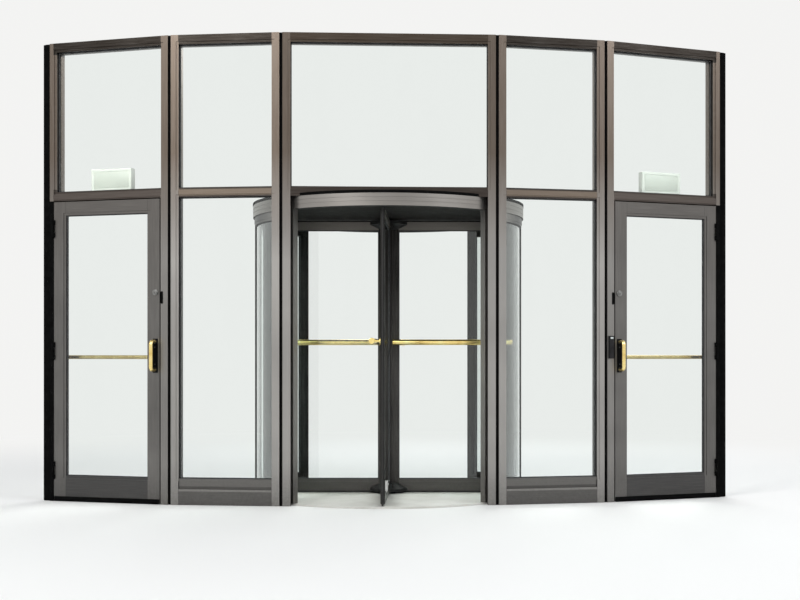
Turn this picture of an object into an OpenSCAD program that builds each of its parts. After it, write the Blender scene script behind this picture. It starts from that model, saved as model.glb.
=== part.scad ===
// Glazed entrance screen in five facets, with a four-wing revolving door in the middle bay
// and a swing door in each end bay. Millimetres. The origin is on the floor at the centre of
// the revolving door, +X to the right as seen from outside, +Y into the building, +Z up.

/* [Screen] */
// Height of the screen from the floor to the top of its head
screen_h = 3275; // [2900:5:3800]
// Width of the middle bay, between the centres of its two corner joints
centre_bay = 1500; // [1420:5:1600]
// Width of each sidelight bay, between the centres of its corner joints
side_bay = 795; // [600:5:1100]
// Width of each end bay, from its corner joint to the outer edge of its jamb
outer_bay = 947; // [850:1:1200]
// Turn of each bay against its neighbour, in degrees
facet_turn = 9.5; // [5:0.5:13]
// Depth of the frame bars
frame_d = 115; // [95:1:130]
// Face width of jambs
frame_face = 55; // [45:1:70]
// Face height of the head bar
head_face = 65; // [50:1:120]
// Height of the underside of the transom bar
transom_z = 2145; // [2100:5:2300]
// Face height of the transom bar
transom_face = 65; // [50:1:100]
// Width left open between two neighbouring frames at the back of a corner
back_joint = 3; // [2:0.5:8]
// How far a corner post lies behind the front of the frames
post_recess = 12; // [6:1:30]
// Width of the dark trim between the outer jambs and the walls
trim_w = 45; // [20:1:80]
// How far that trim lies behind the front of the frames
trim_set = 15; // [6:1:30]

/* [Glazing] */
// Thickness of every pane
glass_t = 10; // [6:1:14]
// Distance from the front of the screen to the middle of its glass
glass_set = 40; // [30:1:50]
// How deep a pane sits in its frame
glass_bite = 12; // [8:1:16]
// Width of the glazing beads
bead_w = 18; // [14:1:24]
// Height of the solid base under a sidelight
sill_base_h = 110; // [80:1:150]
// Height of the stepped rail on that base
sill_rail_h = 74; // [50:1:100]
// How far the stepped rail lies behind the base
sill_step = 10; // [6:1:18]

/* [Drum] */
// Outer radius of the drum wall
drum_r = 1000; // [960:5:1060]
// Thickness of the drum wall
drum_wall = 45; // [36:1:60]
// Distance from the front of the screen to where the drum meets the jambs
throat_set = 70; // [60:1:80]
// Width of the posts at the drum's outer mouth, and of the post in mid-wall
throat_post = 45; // [35:1:60]
// Width of the posts at the drum's inner mouth
mouth_post = 75; // [50:1:110]
// Height of the drum's base rail
drum_base_h = 90; // [60:1:140]
// Height of the drum's top rail
drum_top_h = 60; // [45:1:90]
// Thickness of the stone floor disc
floor_t = 12; // [8:1:20]
// Height of the canopy below the underside of the transom bar
canopy_h = 85; // [70:1:120]
// How far the fascia stands proud of the drum wall
canopy_proud = 10; // [6:1:30]
// Thickness of the fascia's sheet
fascia_t = 8; // [5:1:12]
// Height of the lip that the fascia has above the underside of the transom bar
canopy_lip = 20; // [10:1:40]
// Thickness of the ceiling and cover plates
plate_t = 8; // [5:1:12]
// Radius of the ceiling bearing's housing
housing_r = 90; // [70:1:120]
// Radius of the floor bearing's cup
cup_r = 60; // [45:1:80]

/* [Rotor] */
// Side of the square shaft
shaft_w = 60; // [50:1:80]
// Diameter of the pivots at both ends of the shaft
pivot_d = 40; // [30:1:46]
// Thickness of a wing
wing_t = 30; // [26:1:50]
// Width of a wing's stiles
wing_stile = 45; // [38:1:70]
// Height of a wing's top rail
wing_top_h = 62; // [45:1:90]
// Height of a wing's bottom rail
wing_bottom_h = 88; // [70:1:140]
// Length of the bristles that close the gap above and below a wing
sweep_h = 10; // [6:1:16]
// Length of the bristles at a wing's outer edge
sweep_reach = 20; // [14:1:30]
// Thickness of a bristle strip
sweep_t = 12; // [8:1:16]
// Radius of the hangers between the wings, at their top and bottom
hanger_r = 140; // [110:1:170]
// Height of a hanger
hanger_h = 60; // [40:1:90]
// Turn of the whole rotor at rest, in degrees
rest_turn = -3; // [-8:1:8]

/* [Swing doors] */
// Thickness of a leaf
leaf_t = 45; // [38:1:50]
// Width of a leaf's stiles
leaf_stile = 95; // [70:1:120]
// Height of a leaf's top rail
leaf_top_h = 97; // [80:1:130]
// Height of a leaf's bottom rail
leaf_bottom_h = 174; // [150:1:250]
// Face width of the outer jamb beside a leaf
hinge_face = 30; // [26:1:40]
// Gap between a leaf and the jamb at its lock side
lock_gap = 8; // [8:0.5:12]
// Gap between a leaf and the jamb at its hinge side
hinge_gap = 5; // [5:0.5:8]
// Gap between a leaf and the transom bar
head_gap = 7; // [5:0.5:12]
// Gap between a leaf and the floor
floor_gap = 10; // [8:1:16]
// How far the door stops reach into the doorway
stop_w = 15; // [12:1:20]
// Radius of the hinge knuckles
knuckle_r = 9; // [8:0.5:12]
// Diameter of the hinge pins
pin_d = 10; // [8:0.5:11]
// Height of the jamb's knuckle in each hinge
knuckle_h = 60; // [40:1:90]
// Height of the leaf's two knuckles in each hinge
leaf_knuckle_h = 30; // [20:1:50]
// Width of the foot by which a knuckle stands on its frame
lug_w = 11; // [8:0.5:16]

/* [Fittings] */
// Diameter of the push bars
bar_d = 28; // [22:1:36]
// Distance from a push bar's centre to the face that it stands on
bar_off = 60; // [45:1:80]
// Height of the push bars on the wings
wing_bar_z = 1147; // [1000:1:1250]
// Height of the push bars inside the swing doors
leaf_bar_z = 1030; // [950:1:1150]
// Diameter of the pull handles
pull_d = 24; // [18:1:30]
// Length of a pull handle between its feet
pull_h = 216; // [160:1:320]
// Height of the middle of a pull handle
pull_z = 1040; // [950:1:1150]
// Distance from a pull handle's centre to the leaf
pull_off = 65; // [50:1:80]
// Width of the plate behind a pull handle
pull_plate_w = 35; // [28:1:50]
// Thickness of that plate
pull_plate_t = 6; // [4:0.5:10]
// Height of the lock cylinders
cylinder_z = 1475; // [1300:5:1550]
// Height of the middle of the card reader
reader_z = 1110; // [1000:1:1250]

/* [Clearances] */
// Gap between pieces that are seated in each other
fit = 0.3; // [0.1:0.05:0.5]
// Gap between a pin and its bore
pin_play = 0.05; // [0.02:0.01:0.1]
// Gap between moving and fixed pieces
run_gap = 5; // [5:0.5:8]

/* [Hidden] */

bronze = [0.33, 0.32, 0.31];
brass = [0.85, 0.68, 0.35];
clear = [0.75, 0.85, 0.87, 0.35];
dark = [0.12, 0.12, 0.12];
stone = [0.83, 0.81, 0.76];
white = [0.92, 0.92, 0.9];
steel = [0.62, 0.62, 0.6];

arc_fn = 96;
rod_fn = 48;
eps = 1;

// corner joints: the frames' ends are square, so the joint narrows from front to back
half_turn = facet_turn / 2;
groove_w = (back_joint + 2 * frame_d * sin(half_turn)) / cos(half_turn);
jamb_in = groove_w / 2 + frame_face;

// the screen stands where the drum's outer face meets the middle bay's jambs
jamb_x = centre_bay / 2 - jamb_in;
front_y = sqrt(drum_r * drum_r - jamb_x * jamb_x) + throat_set;
back_y = front_y - frame_d;

transom_top = transom_z + transom_face;
soffit_z = transom_z - canopy_h;
glass_top = screen_h - head_face;
sill_h = sill_base_h + sill_rail_h;
bead_step = 5;

// drum, angles counted from straight ahead of the door
drum_in = drum_r - drum_wall;
drum_mid = drum_r - drum_wall / 2;
throat_a = asin((jamb_x - throat_post) / drum_in);
jamb_a = acos(back_y / drum_r) + 1.5;
post_a = 2 * asin(throat_post / 2 / drum_mid);
mouth_post_a = 2 * asin(mouth_post / 2 / drum_mid);
bite_a = 2 * asin(glass_bite / 2 / drum_mid);
fit_a = 2 * asin(fit / 2 / drum_mid);
lites = [[jamb_a, 90 - post_a / 2], [90 + post_a / 2, 180 - throat_a - mouth_post_a]];
drum_glass_z0 = floor_t + drum_base_h;
drum_glass_z1 = soffit_z - drum_top_h;
drum_step = 4;
step_a = 2 * asin(bead_w / 2 / drum_mid);

// canopy, from its underside up
canopy_r = drum_r + canopy_proud;
flange_t = 4;
flange_w = 70;
ceiling_z = soffit_z + flange_t;
cover_z = transom_z - plate_t - 4;
ledge_t = 6;
ledge_w = 10;
canopy_top = transom_z + canopy_lip;
reveal = 3;
reveal_zs = [for (k = [1, 2]) soffit_z + k * canopy_h / 3];
plate_r = canopy_r - fascia_t - fit;

// rotor
pivot_r = pivot_d / 2;
cup_h = floor_t + 4;
cup_floor = 4;
shaft_z0 = cup_h + run_gap;
shaft_z1 = ceiling_z - run_gap;
pivot_seat = 45;
sweep_r = drum_in - run_gap - 2;
wing_r = sweep_r - sweep_reach;
wing_z0 = floor_t + run_gap + sweep_h;
wing_z1 = soffit_z - run_gap - sweep_h;
wing_glass_x0 = shaft_w / 2 + wing_stile;
wing_glass_x1 = wing_r - wing_stile;
wing_glass_z0 = wing_z0 + wing_bottom_h;
wing_glass_z1 = wing_z1 - wing_top_h;
wing_step = 4;

// swing doors, in an end bay's own frame
hinge_x = outer_bay - hinge_face;
leaf_x0 = jamb_in + lock_gap;
leaf_x1 = hinge_x - hinge_gap;
leaf_z1 = transom_z - head_gap;
leaf_glass_x0 = leaf_x0 + leaf_stile;
leaf_glass_x1 = leaf_x1 - leaf_stile;
leaf_glass_z0 = floor_gap + leaf_bottom_h;
leaf_glass_z1 = leaf_z1 - leaf_top_h;
pin_y = -knuckle_r - run_gap;
knuckle_gap = 0.5;
hinge_zs = [220, (floor_gap + leaf_z1) / 2, leaf_z1 - 190];
lock_x = leaf_x0 + leaf_stile / 2;

// Shared shapes

module block(lo, hi) {
    translate(lo) cube(hi - lo);
}

module arc(r0, r1, z0, z1, a0, a1) {
    rotate(a0 - 90) rotate_extrude(angle = a1 - a0, $fn = arc_fn)
        translate([r0, z0]) square([r1 - r0, z1 - z0]);
}

// daylight opening, glazing bead steps on both faces, and the groove that holds the pane
module pane_cut(x0, x1, z0, z1, depth, pane_y, step) {
    grow = glass_bite + fit;
    half = glass_t / 2 + fit;
    block([x0, -eps, z0], [x1, depth + eps, z1]);
    block([x0 - bead_w, -eps, z0 - bead_w], [x1 + bead_w, step, z1 + bead_w]);
    block([x0 - bead_w, depth - step, z0 - bead_w], [x1 + bead_w, depth + eps, z1 + bead_w]);
    block([x0 - grow, pane_y - half, z0 - grow], [x1 + grow, pane_y + half, z1 + grow]);
}

module pane(x0, x1, z0, z1, pane_y) {
    block([x0 - glass_bite, pane_y - glass_t / 2, z0 - glass_bite],
        [x1 + glass_bite, pane_y + glass_t / 2, z1 + glass_bite]);
}

// a round bar along X on two feet, standing off a face at y = 0 towards -Y
module push_bar(length, d, off) {
    foot_d = 0.72 * d;
    translate([-0.6 * d, -off, 0]) rotate([0, 90, 0]) cylinder(d = d, h = length + 1.2 * d, $fn = rod_fn);
    for (x = [0, length]) translate([x, 0, 0]) rotate([90, 0, 0]) {
        cylinder(d = foot_d, h = off, $fn = rod_fn);
        cylinder(d = 1.5 * d, h = 5, $fn = rod_fn);
    }
}

// Places

module other_side() {
    mirror([1, 0, 0]) children();
}

module both_sides() {
    children();
    other_side() children();
}

module in_centre_bay() {
    translate([-centre_bay / 2, -front_y, 0]) children();
}

module in_side_bay() {
    translate([centre_bay / 2, -front_y, 0]) rotate(facet_turn) children();
}

module in_outer_bay() {
    translate([centre_bay / 2 + side_bay * cos(facet_turn), -front_y + side_bay * sin(facet_turn), 0])
        rotate(2 * facet_turn) children();
}

module in_wing(k) {
    rotate(rest_turn + 90 * k - 90) children();
}

// what the screen's frames take out of the drum's pieces
module screen_cut(z0, z1) {
    for (side = [0, 1]) mirror([side, 0, 0]) {
        block([jamb_x - fit, -front_y - fit, z0], [centre_bay / 2, fit - back_y, z1]);
        in_side_bay() block([0, -fit, z0], [side_bay, frame_d + fit, z1]);
    }
}

// Screen

module centre_frame() {
    color(bronze) in_centre_bay() difference() {
        block([groove_w / 2, 0, 0], [centre_bay - groove_w / 2, frame_d, screen_h]);
        block([jamb_in, -eps, -eps], [centre_bay - jamb_in, frame_d + eps, transom_z]);
        pane_cut(jamb_in, centre_bay - jamb_in, transom_top, glass_top, frame_d, glass_set, bead_step);
    }
}

module centre_transom_glass() {
    color(clear) in_centre_bay() pane(jamb_in, centre_bay - jamb_in, transom_top, glass_top, glass_set);
}

module side_frame() {
    color(bronze) in_side_bay() difference() {
        block([groove_w / 2, 0, 0], [side_bay - groove_w / 2, frame_d, screen_h]);
        pane_cut(jamb_in, side_bay - jamb_in, sill_h, transom_z, frame_d, glass_set, bead_step);
        pane_cut(jamb_in, side_bay - jamb_in, transom_top, glass_top, frame_d, glass_set, bead_step);
        block([jamb_in, -eps, sill_base_h], [side_bay - jamb_in, sill_step, sill_h]);
    }
}

module sidelight_glass() {
    color(clear) in_side_bay() pane(jamb_in, side_bay - jamb_in, sill_h, transom_z, glass_set);
}

module side_transom_glass() {
    color(clear) in_side_bay() pane(jamb_in, side_bay - jamb_in, transom_top, glass_top, glass_set);
}

module outer_frame() {
    stop_y = leaf_t + run_gap;
    color(bronze) in_outer_bay() difference() {
        block([groove_w / 2, 0, 0], [outer_bay, frame_d, screen_h]);
        block([jamb_in, -eps, -eps], [hinge_x, stop_y, transom_z]);
        block([jamb_in + stop_w, 0, -eps], [outer_bay - frame_face, frame_d + eps, transom_z - stop_w]);
        pane_cut(jamb_in, outer_bay - frame_face, transom_top, glass_top, frame_d, glass_set, bead_step);
    }
}

module outer_transom_glass() {
    color(clear) in_outer_bay() pane(jamb_in, outer_bay - frame_face, transom_top, glass_top, glass_set);
}

// wedge post in the joint between two bays, face to face with both frames
module corner_post() {
    g = groove_w / 2 - fit;
    right = [for (d = [post_recess, frame_d])
        [g * cos(half_turn) - d * sin(half_turn), g * sin(half_turn) + d * cos(half_turn)]];
    linear_extrude(screen_h)
        polygon([right[0], right[1], [-right[1].x, right[1].y], [-right[0].x, right[0].y]]);
}

module corner_posts() {
    color(bronze) both_sides() {
        translate([centre_bay / 2, -front_y, 0]) rotate(half_turn) corner_post();
        in_side_bay() translate([side_bay, 0, 0]) rotate(half_turn) corner_post();
    }
}

// dark strips that close the screen against the walls
module wall_trims() {
    color(dark) both_sides() in_outer_bay()
        block([outer_bay, trim_set, 0], [outer_bay + trim_w, frame_d - trim_set, screen_h]);
}

// blank boxes on the transom bars, behind the glass
module sign_boxes() {
    box_w = 300;
    box_h = 170;
    box_d = 56;
    mid = (jamb_in + outer_bay - frame_face) / 2;
    y0 = glass_set + glass_t / 2 + run_gap;
    color(white) both_sides() in_outer_bay()
        block([mid - box_w / 2, y0, transom_top], [mid + box_w / 2, y0 + box_d, transom_top + box_h]);
}

module card_reader() {
    w = 35;
    h = 140;
    t = 18;
    mid = groove_w / 2 + frame_face / 2;
    color(dark) in_outer_bay() difference() {
        block([mid - w / 2, -t, reader_z - h / 2], [mid + w / 2, 0, reader_z + h / 2]);
        block([mid - w / 2 + 5, -t - eps, reader_z - h / 2 + 5], [mid + w / 2 - 5, -t + 2, reader_z]);
    }
}

// Drum

module drum_floor() {
    color(stone) difference() {
        cylinder(r = drum_r, h = floor_t, $fn = arc_fn);
        translate([0, 0, -eps]) cylinder(r = cup_r + fit, h = floor_t + 2 * eps, $fn = rod_fn);
        screen_cut(-eps, floor_t + eps);
    }
}

module floor_bearing() {
    color(dark) difference() {
        rotate_extrude($fn = rod_fn)
            polygon([[0, 0], [cup_r, 0], [cup_r, floor_t], [cup_r - 6, cup_h], [0, cup_h]]);
        translate([0, 0, cup_floor]) cylinder(r = pivot_r + pin_play, h = cup_h, $fn = rod_fn);
    }
}

module drum_frame() {
    glass_r0 = drum_mid - glass_t / 2 - fit;
    glass_r1 = drum_mid + glass_t / 2 + fit;
    grow = glass_bite + fit;
    color(bronze) difference() {
        arc(drum_in, drum_r, floor_t, soffit_z, throat_a, 180 - throat_a);
        for (lite = lites) {
            arc(drum_in - eps, drum_r + eps, drum_glass_z0, drum_glass_z1, lite[0], lite[1]);
            for (r = [[drum_in - eps, drum_in + drum_step], [drum_r - drum_step, drum_r + eps]])
                arc(r[0], r[1], drum_glass_z0 - bead_w, drum_glass_z1 + bead_w,
                    lite[0] - step_a, lite[1] + step_a);
            arc(glass_r0, glass_r1, drum_glass_z0 - grow, drum_glass_z1 + grow,
                lite[0] - bite_a - fit_a, lite[1] + bite_a + fit_a);
        }
        screen_cut(-eps, soffit_z + eps);
    }
}

module drum_glass() {
    color(clear) for (lite = lites) arc(drum_mid - glass_t / 2, drum_mid + glass_t / 2,
        drum_glass_z0 - glass_bite, drum_glass_z1 + glass_bite, lite[0] - bite_a, lite[1] + bite_a);
}

// where the transom bar crosses above the canopy
module transom_cut() {
    block([-centre_bay / 2, -front_y - fit, transom_z - fit],
        [centre_bay / 2, fit - back_y, canopy_top + eps]);
}

module canopy_fascia() {
    inside = canopy_r - fascia_t;
    grooves = [for (z = reveal_zs) for (p = [[0, -1], [reveal, -1], [reveal, 1], [0, 1]])
        [canopy_r - p[0], z + p[1] * reveal]];
    color(bronze) difference() {
        rotate_extrude($fn = arc_fn) polygon(concat(
            [[canopy_r - flange_w, soffit_z], [canopy_r, soffit_z]], grooves,
            [[canopy_r, canopy_top], [inside, canopy_top],
            [inside, cover_z], [inside - ledge_w, cover_z], [inside - ledge_w, cover_z - ledge_t],
            [inside, cover_z - ledge_t], [inside, ceiling_z], [canopy_r - flange_w, ceiling_z]]));
        screen_cut(soffit_z - eps, canopy_top + eps);
        transom_cut();
    }
}

module drum_ceiling() {
    color(bronze) difference() {
        translate([0, 0, ceiling_z]) cylinder(r = plate_r, h = plate_t, $fn = arc_fn);
        translate([0, 0, ceiling_z - eps])
            cylinder(r = pivot_r + run_gap, h = plate_t + 2 * eps, $fn = rod_fn);
        screen_cut(ceiling_z - eps, ceiling_z + plate_t + eps);
    }
}

module canopy_cover() {
    color(bronze) difference() {
        translate([0, 0, cover_z]) cylinder(r = plate_r, h = plate_t, $fn = arc_fn);
        screen_cut(cover_z - eps, cover_z + plate_t + eps);
    }
}

module ceiling_bearing() {
    z0 = ceiling_z + plate_t;
    color(dark) translate([0, 0, z0]) difference() {
        cylinder(r = housing_r, h = cover_z - z0, $fn = rod_fn);
        translate([0, 0, -eps]) cylinder(r = pivot_r + pin_play, h = pivot_seat + eps, $fn = rod_fn);
    }
}

// Rotor

module shaft() {
    pivot_top = ceiling_z + plate_t + pivot_seat - 0.5;
    color(bronze) rotate(rest_turn) {
        block([-shaft_w / 2, -shaft_w / 2, shaft_z0], [shaft_w / 2, shaft_w / 2, shaft_z1]);
        translate([0, 0, cup_floor + 0.5]) cylinder(r = pivot_r, h = shaft_z0, $fn = rod_fn);
        translate([0, 0, shaft_z1 - eps])
            cylinder(r = pivot_r, h = pivot_top - shaft_z1 + eps, $fn = rod_fn);
    }
}

// four castings between the wings at the bottom and four at the top, sloping towards the shaft
module wing_hangers() {
    gap = wing_t / 2 + fit;
    rim = hanger_h / 3;
    color(dark) rotate(rest_turn) for (top = [0, 1]) {
        z = top ? wing_z1 - hanger_h : wing_z0;
        difference() {
            translate([0, 0, top ? wing_z1 : wing_z0]) mirror([0, 0, top]) rotate_extrude($fn = rod_fn)
                polygon([[0, 0], [hanger_r, 0], [hanger_r, rim], [shaft_w, hanger_h], [0, hanger_h]]);
            block([-shaft_w / 2, -shaft_w / 2, z - eps], [shaft_w / 2, shaft_w / 2, z + hanger_h + eps]);
            block([-hanger_r, -gap, z - eps], [hanger_r, gap, z + hanger_h + eps]);
            block([-gap, -hanger_r, z - eps], [gap, hanger_r, z + hanger_h + eps]);
        }
    }
}

module wing_frame(k) {
    color(bronze) in_wing(k) translate([0, -wing_t / 2, 0]) difference() {
        block([shaft_w / 2, 0, wing_z0], [wing_r, wing_t, wing_z1]);
        pane_cut(wing_glass_x0, wing_glass_x1, wing_glass_z0, wing_glass_z1,
            wing_t, wing_t / 2, wing_step);
    }
}

module wing_glass() {
    color(clear) for (k = [0 : 3]) in_wing(k) translate([0, -wing_t / 2, 0])
        pane(wing_glass_x0, wing_glass_x1, wing_glass_z0, wing_glass_z1, wing_t / 2);
}

module wing_push_bars() {
    first = (shaft_w + wing_stile) / 2;
    color(brass) for (k = [0 : 3]) in_wing(k) translate([first, -wing_t / 2, wing_bar_z])
        push_bar(wing_r - wing_stile / 2 - first, bar_d, bar_off);
}

// bristles along the top, the outer edge and the bottom of each wing
module wing_sweeps() {
    color(dark) for (k = [0 : 3]) in_wing(k) translate([0, -sweep_t / 2, 0]) difference() {
        block([shaft_w / 2, 0, wing_z0 - sweep_h], [sweep_r, sweep_t, wing_z1 + sweep_h]);
        block([0, -eps, wing_z0], [wing_r, sweep_t + eps, wing_z1]);
    }
}

// Swing doors, hinged at the outer jamb and opening outwards

module leaf_frame() {
    color(bronze) in_outer_bay() difference() {
        block([leaf_x0, 0, floor_gap], [leaf_x1, leaf_t, leaf_z1]);
        pane_cut(leaf_glass_x0, leaf_glass_x1, leaf_glass_z0, leaf_glass_z1,
            leaf_t, leaf_t / 2, wing_step);
    }
}

module leaf_glass() {
    color(clear) in_outer_bay()
        pane(leaf_glass_x0, leaf_glass_x1, leaf_glass_z0, leaf_glass_z1, leaf_t / 2);
}

// knuckle with its foot on the frame beside the pin
module knuckle(h) {
    translate([0, pin_y, 0]) cylinder(r = knuckle_r, h = h, $fn = rod_fn);
    linear_extrude(h) polygon([[0, pin_y], [hinge_gap, 0], [hinge_gap + lug_w, 0],
        [0.8 * knuckle_r, pin_y - 0.4 * knuckle_r]]);
}

module jamb_knuckles() {
    color(dark) both_sides() in_outer_bay() for (z = hinge_zs)
        translate([hinge_x, 0, z - knuckle_h / 2]) difference() {
            knuckle(knuckle_h);
            translate([0, pin_y, -eps])
                cylinder(r = pin_d / 2 + pin_play, h = knuckle_h + 2 * eps, $fn = rod_fn);
        }
}

// two knuckles a hinge, with the pin and its button tips
module leaf_hinges() {
    tip_h = 5;
    top = knuckle_h / 2 + knuckle_gap + leaf_knuckle_h;
    color(dark) in_outer_bay() for (z = hinge_zs) translate([hinge_x, 0, z]) {
        for (up = [0, 1]) mirror([0, 0, up]) {
            translate([0, 0, top - leaf_knuckle_h]) mirror([1, 0, 0]) knuckle(leaf_knuckle_h);
            translate([0, pin_y, top])
                cylinder(r1 = knuckle_r - 1, r2 = pin_d / 2, h = tip_h, $fn = rod_fn);
        }
        translate([0, pin_y, 1 - top]) cylinder(d = pin_d, h = 2 * top - 2, $fn = rod_fn);
    }
}

// upright handle with round elbows
module pull() {
    bend = 24;
    color(brass) in_outer_bay() translate([lock_x, 0, pull_z]) {
        translate([0, -pull_off, bend - pull_h / 2])
            cylinder(d = pull_d, h = pull_h - 2 * bend, $fn = rod_fn);
        for (up = [0, 1]) mirror([0, 0, up]) {
            translate([0, bend - pull_off, pull_h / 2 - bend]) rotate([0, -90, 0]) rotate(-90)
                rotate_extrude(angle = 90, $fn = rod_fn)
                    translate([bend, 0]) circle(d = pull_d, $fn = rod_fn);
            translate([0, -pull_plate_t, pull_h / 2]) rotate([90, 0, 0])
                cylinder(d = pull_d, h = pull_off - bend - pull_plate_t, $fn = rod_fn);
        }
    }
}

// plate with round ends between the handle and the leaf
module pull_plate() {
    half = pull_h / 2;
    color(dark) in_outer_bay() translate([lock_x, 0, pull_z]) {
        block([-pull_plate_w / 2, -pull_plate_t, -half], [pull_plate_w / 2, 0, half]);
        for (z = [-half, half]) translate([0, 0, z]) rotate([90, 0, 0])
            cylinder(d = pull_plate_w, h = pull_plate_t, $fn = rod_fn);
    }
}

module leaf_push_bar() {
    color(brass) in_outer_bay() translate([leaf_x1 - leaf_stile / 2, leaf_t, leaf_bar_z]) rotate(180)
        push_bar(leaf_x1 - leaf_x0 - leaf_stile, bar_d, bar_off);
}

module lock_cylinder() {
    color(steel) in_outer_bay() translate([lock_x, 0, cylinder_z]) rotate([90, 0, 0]) {
        cylinder(d = 40, h = 8, $fn = rod_fn);
        cylinder(d = 26, h = 12, $fn = rod_fn);
    }
}

drum_floor();
floor_bearing();
drum_ceiling();
canopy_fascia();
canopy_cover();
ceiling_bearing();
other_side() drum_frame();  // left_drum_frame
drum_frame();  // right_drum_frame
other_side() drum_glass();  // left_drum_glass
drum_glass();  // right_drum_glass
centre_frame();
other_side() side_frame();  // left_side_frame
side_frame();  // right_side_frame
other_side() outer_frame();  // left_outer_frame
outer_frame();  // right_outer_frame
corner_posts();
wall_trims();
centre_transom_glass();
other_side() side_transom_glass();  // left_side_transom_glass
side_transom_glass();  // right_side_transom_glass
other_side() outer_transom_glass();  // left_outer_transom_glass
outer_transom_glass();  // right_outer_transom_glass
other_side() sidelight_glass();  // left_sidelight_glass
sidelight_glass();  // right_sidelight_glass
sign_boxes();
card_reader();
jamb_knuckles();
shaft();
wing_hangers();
wing_frame(0);  // front_wing_frame
wing_frame(1);  // right_wing_frame
wing_frame(2);  // back_wing_frame
wing_frame(3);  // left_wing_frame
wing_glass();
wing_push_bars();
wing_sweeps();
other_side() leaf_frame();  // left_leaf_frame
leaf_frame();  // right_leaf_frame
other_side() leaf_glass();  // left_leaf_glass
leaf_glass();  // right_leaf_glass
other_side() leaf_hinges();  // left_leaf_hinges
leaf_hinges();  // right_leaf_hinges
other_side() pull();  // left_pull
pull();  // right_pull
other_side() pull_plate();  // left_pull_plate
pull_plate();  // right_pull_plate
other_side() leaf_push_bar();  // left_leaf_push_bar
leaf_push_bar();  // right_leaf_push_bar
other_side() lock_cylinder();  // left_lock_cylinder
lock_cylinder();  // right_lock_cylinder
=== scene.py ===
"""A faceted entrance screen with a revolving door and two swing doors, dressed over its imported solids.

Everything is in metres, in the part's own frame: +X to the right as seen from outside, +Y into the
building, +Z up, with the origin on the floor at the centre of the revolving door.
"""

import math

import bpy
from mathutils import Matrix, Vector


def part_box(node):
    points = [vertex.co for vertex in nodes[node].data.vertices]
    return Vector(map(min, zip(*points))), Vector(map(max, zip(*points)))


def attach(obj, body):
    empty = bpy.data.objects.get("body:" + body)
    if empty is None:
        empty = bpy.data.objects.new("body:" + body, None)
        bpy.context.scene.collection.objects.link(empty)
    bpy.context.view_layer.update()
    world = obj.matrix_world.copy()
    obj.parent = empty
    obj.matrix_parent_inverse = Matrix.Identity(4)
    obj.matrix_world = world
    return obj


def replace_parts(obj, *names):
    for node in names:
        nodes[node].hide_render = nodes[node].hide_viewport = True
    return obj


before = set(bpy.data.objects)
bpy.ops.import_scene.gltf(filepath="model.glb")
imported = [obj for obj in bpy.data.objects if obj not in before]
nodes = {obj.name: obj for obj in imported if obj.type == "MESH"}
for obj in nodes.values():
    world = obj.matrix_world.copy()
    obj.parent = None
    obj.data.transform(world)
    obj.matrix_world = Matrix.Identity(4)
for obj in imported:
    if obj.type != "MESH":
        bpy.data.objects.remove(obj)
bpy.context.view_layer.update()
scene = bpy.context.scene

# Sizes of the screen, as its solids have them
TURN = math.radians(9.5)
CENTRE_BAY, SIDE_BAY, OUTER_BAY = 1.5, 0.795, 0.947
FACE, DEPTH, TRIM_W, TRANSOM_H = 0.055, 0.115, 0.045, 0.065
GLASS_SET, GLASS_T = 0.040, 0.010
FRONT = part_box("centre_frame")[0].y
SCREEN_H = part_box("centre_frame")[1].z
GROOVE = CENTRE_BAY / 2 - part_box("centre_frame")[1].x
JAMB_IN = GROOVE + FACE
PANE_BITE = 0.012
TRANSOM_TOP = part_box("centre_transom_glass")[0].z + PANE_BITE
TRANSOM_Z = TRANSOM_TOP - TRANSOM_H
HEAD_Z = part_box("centre_transom_glass")[1].z - PANE_BITE
SILL_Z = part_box("right_sidelight_glass")[0].z + PANE_BITE

# How far the photograph shows pulls, lock cylinders and wing bars from where the solids have them
PULL_SHIFT, CYLINDER_RISE, WING_BAR_DROP = 0.015, 0.008, 0.006

# Swing doors, in an end bay's own frame
HINGE_IN, LOCK_GAP, HINGE_GAP = 0.030, 0.008, 0.005
HINGE_X = OUTER_BAY - HINGE_IN
LEAF_X0, LEAF_X1 = JAMB_IN + LOCK_GAP, HINGE_X - HINGE_GAP
LEAF_T, STILE = 0.045, 0.095
LEAF_Z0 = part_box("right_leaf_frame")[0].z
LEAF_GLASS_Z0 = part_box("right_leaf_glass")[0].z + PANE_BITE
LEAF_GLASS_Z1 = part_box("right_leaf_glass")[1].z - PANE_BITE
PULL_Z = (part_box("right_pull")[0].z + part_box("right_pull")[1].z) / 2
PULL_X, PULL_H = LEAF_X0 + STILE / 2 - PULL_SHIFT, 0.198
CYLINDER_Z = (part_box("right_lock_cylinder")[0].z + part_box("right_lock_cylinder")[1].z) / 2 + CYLINDER_RISE
READER_Z = (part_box("card_reader")[0].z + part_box("card_reader")[1].z) / 2
LEAF_BAR_Z = (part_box("right_leaf_push_bar")[0].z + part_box("right_leaf_push_bar")[1].z) / 2

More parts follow.
